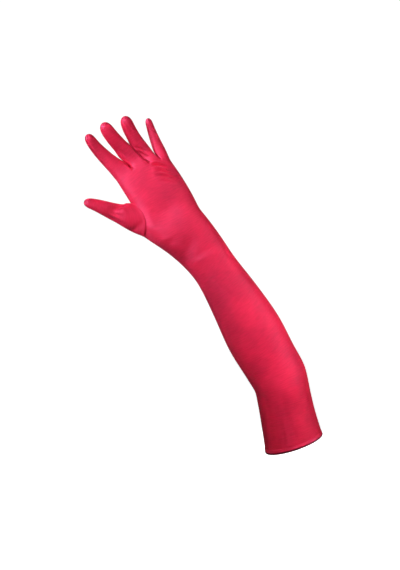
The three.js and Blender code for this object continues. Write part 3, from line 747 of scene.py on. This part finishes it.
# Folds on the fingers, palm, wrist and elbow of the glove: start, middle and end of a curve in x and z, half
# width, height, and 1 on the palm side, -1 on the back or 0 where the fold closes the gap between two fingers
BODY_FOLDS = [
    (-0.2294, 0.3735, -0.2205, 0.3659, -0.2116, 0.357, 0.003, 0.0022, 0),
    (-0.2139, 0.3883, -0.2038, 0.3763, -0.1924, 0.3643, 0.003, 0.0022, 0),
    (-0.2148, 0.3615, -0.2123, 0.3587, -0.2097, 0.3551, 0.0017, -0.0018, 1),
    (-0.2231, 0.3697, -0.2161, 0.3647, -0.211, 0.3577, 0.0024, -0.0016, 1),
    (-0.196, 0.3657, -0.1903, 0.3625, -0.1834, 0.3632, 0.0015, -0.0018, 1),
    (-0.1866, 0.3637, -0.179, 0.3675, -0.1651, 0.3597, 0.0014, 0.0024, 1),
    (-0.1853, 0.3602, -0.1771, 0.364, -0.1657, 0.3564, 0.0013, -0.0028, 1),
    (-0.184, 0.3567, -0.1746, 0.3599, -0.1645, 0.3526, 0.0014, 0.0016, 1),
    (-0.1809, 0.3534, -0.167, 0.3546, -0.1544, 0.3481, 0.0013, -0.0017, 1),
    (-0.1809, 0.3506, -0.1657, 0.3515, -0.1518, 0.345, 0.0014, 0.0016, 1),
    (-0.1796, 0.3473, -0.1645, 0.3478, -0.1506, 0.3418, 0.0013, -0.0012, 1),
    (-0.1784, 0.344, -0.1638, 0.3443, -0.1493, 0.3385, 0.0014, 0.0009, 1),
    (-0.1771, 0.3405, -0.1632, 0.3405, -0.1481, 0.3349, 0.0015, -0.0009, 1),
    (-0.1601, 0.362, -0.1563, 0.3569, -0.1493, 0.3493, 0.0014, 0.001, 1),
    (-0.228, 0.3795, -0.2224, 0.3752, -0.2168, 0.3701, 0.0016, -0.0018, 1),
    (-0.2049, 0.3839, -0.1986, 0.3814, -0.193, 0.377, 0.0015, -0.0032, 1),
    (-0.2017, 0.3783, -0.1967, 0.376, -0.1905, 0.3714, 0.0015, -0.0032, 1),
    (-0.203, 0.381, -0.1977, 0.3787, -0.1917, 0.3742, 0.0012, 0.0018, 1),
    (-0.2405, 0.3871, -0.2362, 0.3839, -0.233, 0.3795, 0.0015, -0.0008, 1),
    (-0.1774, 0.2588, -0.1705, 0.2658, -0.1609, 0.2708, 0.0032, 0.0011, 1),
    (-0.1749, 0.2543, -0.1673, 0.2607, -0.1571, 0.2658, 0.003, -0.0008, 1),
    (-0.1698, 0.2511, -0.1609, 0.2569, -0.1508, 0.2619, 0.003, 0.0008, 1),
    (-0.1305, 0.2374, -0.1177, 0.245, -0.1036, 0.2527, 0.0038, 0.001, 1),
    (-0.133, 0.2431, -0.1202, 0.2508, -0.1062, 0.2585, 0.0036, -0.0009, 1),
    (-0.133, 0.2717, -0.14, 0.2538, -0.1445, 0.2334, 0.0075, -0.0021, 1),
    (-0.1965, 0.2791, -0.1876, 0.2747, -0.1749, 0.2702, 0.007, -0.0014, 1),
    (-0.1872, 0.2887, -0.1683, 0.2976, -0.1518, 0.3127, 0.013, -0.0018, 1),
    (-0.0357, 0.078, -0.0175, 0.0702, 0.0085, 0.078, 0.009, 0.0009, 1),
    (-0.0253, 0.0572, -0.0097, 0.0507, 0.0111, 0.0572, 0.008, -0.0007, 1),
]

glove_body = sewn_cloth(body_cloth, "glove_body_satin", BODY_FOLDS)
# The body's outer points, kept so that the thumb's edge can be set on them
palm_edge = KDTree(len(glove_body.data.vertices))
for vertex in glove_body.data.vertices:
    palm_edge.insert(vertex.co, vertex.index)
palm_edge.balance()
glove_body.data.materials.append(satin_face)
glove_body.data.materials.append(satin_reverse)
give_thickness(glove_body, SATIN_THICKNESS)
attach(glove_body, "root")
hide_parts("glove_body")

# Thumb: a separate piece of the same satin, set into an oval hole at the side of the palm.
# It is sewn in along a curved seam, and its tube leans away from the hand.
THUMB = (0.152, 1.85, 0.78, 1.45, (81, 74, 69, 81), (14, 18, 17, 17))
THUMB_SIDE = 6
THUMB_BLEND = 0.062
SEAM_REACH = 0.0016
ON_SEAM = 0.999
THUMB_FOLDS = [
    (-0.2177, 0.3136, -0.2291, 0.3098, -0.238, 0.2997, 0.005, -0.0044, 1),
    (-0.2342, 0.301, -0.2298, 0.2972, -0.2228, 0.2953, 0.003, -0.0026, 1),
    (-0.2424, 0.2959, -0.2329, 0.2921, -0.2234, 0.2877, 0.0022, -0.0022, 1),
    (-0.2241, 0.3086, -0.2177, 0.3041, -0.2165, 0.2953, 0.003, 0.001, 1),
    (-0.2156, 0.2747, -0.2054, 0.2797, -0.1965, 0.288, 0.004, -0.0018, 1),
    (-0.2538, 0.3105, -0.25, 0.3067, -0.2487, 0.3022, 0.0018, -0.0008, 1),
]
hole_edge = [(THUMB_LAST, HOLE_START + step) for step in range(THUMB_SIDE)]
hole_edge += [(THUMB_LAST - step, HOLE_END) for step in range(THUMB_SIDE)]
hole_edge += [(THUMB_FIRST, HOLE_END - step) for step in range(THUMB_SIDE)]
hole_edge += [(THUMB_FIRST + step, HOLE_START) for step in range(THUMB_SIDE)]
hole_points = [rings[ring][column % AROUND] for column, ring in hole_edge]
thumb_cloth = Cloth()
thumb_loop = [thumb_cloth.point(body_cloth.points[index].copy()) for index in hole_points]
thumb_cloth.seam.update(thumb_loop)
thumb_path = FingerPath(THUMB, middle_of(thumb_cloth, thumb_loop))
grow_finger(thumb_cloth, thumb_path, thumb_loop, THUMB_SIDE, THUMB_BLEND, (0.0, 0.0), (1.5 * THUMB_SIDE,))
thumb = sewn_cloth(thumb_cloth, "thumb_satin", THUMB_FOLDS)
thumb_seam = thumb.data.attributes["seam"].data
for vertex in thumb.data.vertices:
    palm_point, _, gap = palm_edge.find(vertex.co)
    if gap < SEAM_REACH and thumb_seam[vertex.index].value > ON_SEAM:
        vertex.co = palm_point
thumb.data.materials.append(satin_face)
thumb.data.materials.append(satin_reverse)
give_thickness(thumb, SATIN_THICKNESS)
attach(thumb, "root")
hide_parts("thumb")

# Hem: the sleeve's edge turned up once inside and stitched, so it is two layers thick.
# Its lower edge is a rounded fold, darkened with painted shade, and it puckers a little between the stitches.
# Section of the hem: out from the sleeve and share of the hem's height, down the front and up inside
HEM_PROFILE = [
    (0.0, 1.0),
    (0.0002, 0.85),
    (0.0005, 0.36),
    (0.0006, 0.24),
    (0.0004, 0.12),
    (0.0, 0.03),
    (-0.0007, 0.0),
    (-0.0014, 0.03),
    (-0.0017, 0.25),
    (-0.0016, 1.0),
]
# Rows of the lower fold, marked like a seam so that they take painted shade in the hem's dark crease colour
LOWER_FOLD_PAINTED_SHADE = slice(2, 8)
# Points round the hem, height of its rows on the flat cloth, and depth and turn per point of its puckers
HEM_AROUND = 160
HEM_ROW = 0.001
PUCKER_DEPTH = 0.00016
PUCKER_TURN = 2.4
hem_cloth = Cloth()
hem_rings = []
for out, up in HEM_PROFILE:
    row = []
    for step in range(HEM_AROUND):
        pucker = PUCKER_DEPTH * math.sin(step * PUCKER_TURN) * math.sin(math.pi * up)
        place = cloth_point(step / HEM_AROUND * AROUND, up * (HEM_HEIGHT + SEAM_GAP), out + pucker)
        row.append(hem_cloth.point(place))
    hem_rings.append(row)
for ring in hem_rings[LOWER_FOLD_PAINTED_SHADE]:
    hem_cloth.seam.update(ring)
for index, lower in enumerate(hem_rings):
    upper = hem_rings[index - 1]
    low, high = index * HEM_ROW, (index - 1) * HEM_ROW
    hem_cloth.join(lower, upper, low, high, 0.0, SLEEVE_ROUND / HEM_AROUND)
hem = bpy.data.objects.new("cuff_hem_satin", hem_cloth.mesh("cuff_hem_satin"))
bpy.context.scene.collection.objects.link(hem)
# The hem's dye is lighter than the face's as a painted highlight on the band, and its crease colour is
# painted shade on the lower fold; its lower roughness gives real shine
pressed_satin_painted_light = satin_material(
    "pressed satin, painted highlight and shade", dye=(0.84, 0.021, 0.072), shadow_dye=(0.76, 0.016, 0.056),
    crease_painted_shade=(0.11, 0.0012, 0.005), roughness=0.44, sheen=0.05, weave_depth=0.00008)
hem.data.materials.append(pressed_satin_painted_light)
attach(hem, "root")
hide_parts("cuff_hem")

# Hem stitches: one row of lockstitch in matching thread, just below the top of the turned-up edge.
# Each stitch is a short rounded bar that follows the hem, laid out by a node tree.
STITCH_LENGTH = 0.0024
STITCH_GAP = 0.0008
THREAD_THICKNESS = 0.00042
STITCH_HEIGHT = 0.0056
STITCH_PROUD = 0.0004
STITCH_SLIP = 0.06


def stitch_tree():
    tree = bpy.data.node_groups.new("row of stitches", "GeometryNodeTree")
    face = tree.interface
    face.new_socket("Geometry", in_out="INPUT", socket_type="NodeSocketGeometry")
    face.new_socket("Stitch Length", in_out="INPUT", socket_type="NodeSocketFloat")
    face.new_socket("Gap", in_out="INPUT", socket_type="NodeSocketFloat")
    face.new_socket("Thread Thickness", in_out="INPUT", socket_type="NodeSocketFloat")
    face.new_socket("Thread", in_out="INPUT", socket_type="NodeSocketMaterial")
    face.new_socket("Geometry", in_out="OUTPUT", socket_type="NodeSocketGeometry")
    nodes, links = tree.nodes, tree.links
    start, end = nodes.new("NodeGroupInput"), nodes.new("NodeGroupOutput")
    curve = nodes.new("GeometryNodeMeshToCurve")
    links.new(start.outputs["Geometry"], curve.inputs[0])
    pitch = nodes.new("ShaderNodeMath")
    links.new(start.outputs["Stitch Length"], pitch.inputs[0])
    links.new(start.outputs["Gap"], pitch.inputs[1])
    even = nodes.new("GeometryNodeResampleCurve")
    even.mode = "LENGTH"
    links.new(curve.outputs[0], even.inputs["Curve"])
    links.new(pitch.outputs[0], even.inputs["Length"])
    bar = nodes.new("GeometryNodeMeshUVSphere")
    bar.inputs["Segments"].default_value = 8
    bar.inputs["Rings"].default_value = 6
    bar.inputs["Radius"].default_value = 0.5
    shape = nodes.new("ShaderNodeCombineXYZ")
    links.new(start.outputs["Thread Thickness"], shape.inputs["X"])
    links.new(start.outputs["Thread Thickness"], shape.inputs["Y"])
    links.new(start.outputs["Stitch Length"], shape.inputs["Z"])
    tangent = nodes.new("GeometryNodeInputTangent")
    facing = nodes.new("FunctionNodeAlignRotationToVector")
    facing.axis = "Z"
    links.new(tangent.outputs[0], facing.inputs["Vector"])
    slip = nodes.new("FunctionNodeRandomValue")
    slip.data_type = "FLOAT_VECTOR"
    slip.inputs[0].default_value = (-STITCH_SLIP, -STITCH_SLIP, -STITCH_SLIP)
    slip.inputs[1].default_value = (STITCH_SLIP, STITCH_SLIP, STITCH_SLIP)
    slip.inputs["Seed"].default_value = 5
    turned = nodes.new("FunctionNodeRotateRotation")
    links.new(facing.outputs[0], turned.inputs[0])
    links.new(slip.outputs[0], turned.inputs[1])
    copies = nodes.new("GeometryNodeInstanceOnPoints")
    links.new(even.outputs[0], copies.inputs["Points"])
    links.new(bar.outputs["Mesh"], copies.inputs["Instance"])
    links.new(turned.outputs[0], copies.inputs["Rotation"])
    links.new(shape.outputs[0], copies.inputs["Scale"])
    real = nodes.new("GeometryNodeRealizeInstances")
    links.new(copies.outputs[0], real.inputs[0])
    coloured = nodes.new("GeometryNodeSetMaterial")
    links.new(real.outputs[0], coloured.inputs["Geometry"])
    links.new(start.outputs["Thread"], coloured.inputs["Material"])
    links.new(coloured.outputs[0], end.inputs[0])
    return tree


thread = bpy.data.materials.new("sewing thread")
thread.use_nodes = True
thread_nodes, thread_links = thread.node_tree.nodes, thread.node_tree.links
thread_shader = thread_nodes["Principled BSDF"]
thread_shader.inputs["Roughness"].default_value = 0.55
thread_place = thread_nodes.new("ShaderNodeTexCoord")
twist = thread_nodes.new("ShaderNodeTexNoise")
twist.inputs["Scale"].default_value = 2400.0
thread_links.new(thread_place.outputs["Object"], twist.inputs["Vector"])
twist_ramp = thread_nodes.new("ShaderNodeValToRGB")
twist_ramp.color_ramp.elements[0].color = (0.42, 0.005, 0.022, 1)
twist_ramp.color_ramp.elements[1].color = (0.78, 0.018, 0.06, 1)
thread_links.new(twist.outputs["Fac"], twist_ramp.inputs["Fac"])
thread_links.new(twist_ramp.outputs["Color"], thread_shader.inputs["Base Color"])
twist_bump = thread_nodes.new("ShaderNodeBump")
twist_bump.inputs["Distance"].default_value = 0.0001
thread_links.new(twist.outputs["Fac"], twist_bump.inputs["Height"])
thread_links.new(twist_bump.outputs[0], thread_shader.inputs["Normal"])

stitch_line = bpy.data.meshes.new("hem_stitches")
columns = [i / HEM_AROUND * AROUND for i in range(HEM_AROUND)]
line_points = [tuple(cloth_point(column, STITCH_HEIGHT, STITCH_PROUD)) for column in columns]
stitch_line.from_pydata(line_points, [(i, (i + 1) % HEM_AROUND) for i in range(HEM_AROUND)], [])
stitches = bpy.data.objects.new("hem_stitches", stitch_line)
bpy.context.scene.collection.objects.link(stitches)
rows = stitches.modifiers.new("stitches", "NODES")
rows.node_group = stitch_tree()
stitch_values = {
    "Stitch Length": STITCH_LENGTH,
    "Gap": STITCH_GAP,
    "Thread Thickness": THREAD_THICKNESS,
    "Thread": thread,
}
for socket in rows.node_group.interface.items_tree:
    if socket.item_type == "SOCKET" and socket.in_out == "INPUT" and socket.name in stitch_values:
        rows[socket.identifier] = stitch_values[socket.name]
plain_mesh(stitches)
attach(stitches, "root")

# Studio: a plain pale floor, soft lights from the left, right, front and back, and a camera level with the
# middle of the sleeve. The floor and the air look white, as paper does, and give the cloth little light.
# One light gives shine alone and five give none, so that shine and brightness are set apart.
FLOOR_HEIGHT = -0.2
FLOOR_REACH = 6
AIR_LIGHT = 0.03
AIR_WHITE = 1.05
floor_corners = [(-1, -1), (1, -1), (1, 1), (-1, 1)]
floor_points = [(x * FLOOR_REACH, y * FLOOR_REACH, FLOOR_HEIGHT) for x, y in floor_corners]
floor_mesh = bpy.data.meshes.new("floor")
floor_mesh.from_pydata(floor_points, [], [(0, 1, 2, 3)])
floor = bpy.data.objects.new("floor", floor_mesh)
bpy.context.scene.collection.objects.link(floor)
pale = bpy.data.materials.new("pale floor")
pale.use_nodes = True
pale_shader = pale.node_tree.nodes["Principled BSDF"]
pale_shader.inputs["Base Color"].default_value = (0.85, 0.85, 0.85, 1)
pale_shader.inputs["Roughness"].default_value = 0.9
pale_shader.inputs["Emission Color"].default_value = (1, 1, 1, 1)
seen = pale.node_tree.nodes.new("ShaderNodeLightPath")
pale.node_tree.links.new(seen.outputs["Is Camera Ray"], pale_shader.inputs["Emission Strength"])
floor.data.materials.append(pale)
floor.visible_glossy = False

# Lights: name, place, target, size, power, spread in degrees, and whether they brighten and shine
LIGHTS = [
    ("hand light", (-1.15, -0.7, 0.7), (-0.27, -0.06, 0.36), 0.3, 0.52, 15, True, True),
    ("sleeve light", (1.3, -0.6, 0.7), (0.0, -0.02, 0.18), 0.3, 0.29, 16, True, True),
    ("side light", (0.9, -1.0, 0.9), (-0.2, -0.06, 0.43), 0.3, 0.10, 14, True, True),
    ("shine light", (-1.15, -0.7, 0.6), (-0.26, -0.06, 0.38), 0.35, 0.6, 12, False, True),
    ("finger light", (-0.6, -1.5, 0.05), (-0.23, -0.08, 0.46), 0.3, 0.09, 12, True, False),
    ("middle light", (0.5, -1.55, 0.4), (0.0, -0.02, 0.18), 0.3, 0.10, 12, True, False),
    ("cuff light", (-0.5, -1.7, 0.0), (0.02, 0.0, 0.0), 0.3, 0.09, 12, True, False),
    ("front light", (-0.1, -1.75, 0.1), (-0.1, -0.03, 0.15), 1.0, 3.2, 120, True, False),
    ("back light", (0.0, 1.9, 0.4), (-0.12, 0.0, 0.2), 1.0, 11.0, 120, True, False),
]
COOL_WHITE = (0.62, 1.0, 1.0)
for name, place, target, size, power, spread, brightens, shines in LIGHTS:
    data = bpy.data.lights.new(name, "AREA")
    data.shape = "SQUARE"
    data.size = size
    data.energy = power
    data.spread = math.radians(spread)
    light = bpy.data.objects.new(name, data)
    light.location = place
    light.rotation_euler = (Vector(target) - Vector(place)).to_track_quat("-Z", "Y").to_euler()
    light.visible_diffuse = brightens
    light.visible_glossy = shines
    bpy.context.scene.collection.objects.link(light)
bpy.data.lights["hand light"].color = COOL_WHITE

world = bpy.data.worlds.new("studio")
world.use_nodes = True
world_nodes, world_links = world.node_tree.nodes, world.node_tree.links
air = world_nodes["Background"]
air.inputs["Color"].default_value = (1, 1, 1, 1)
air_path = world_nodes.new("ShaderNodeLightPath")
air_range = world_nodes.new("ShaderNodeMapRange")
air_range.inputs["To Min"].default_value = AIR_LIGHT
air_range.inputs["To Max"].default_value = AIR_WHITE
world_links.new(air_path.outputs["Is Camera Ray"], air_range.inputs["Value"])
world_links.new(air_range.outputs[0], air.inputs["Strength"])
bpy.context.scene.world = world
bpy.context.scene.view_settings.view_transform = "Standard"

camera_data = bpy.data.cameras.new("camera")
camera_data.sensor_width = 36
camera_data.lens = 76.55
camera = bpy.data.objects.new("camera", camera_data)
camera.location = (-0.12408, -1.6, 0.20922)
camera.rotation_euler = (math.pi / 2, 0, 0)
bpy.context.scene.collection.objects.link(camera)
bpy.context.scene.camera = camera
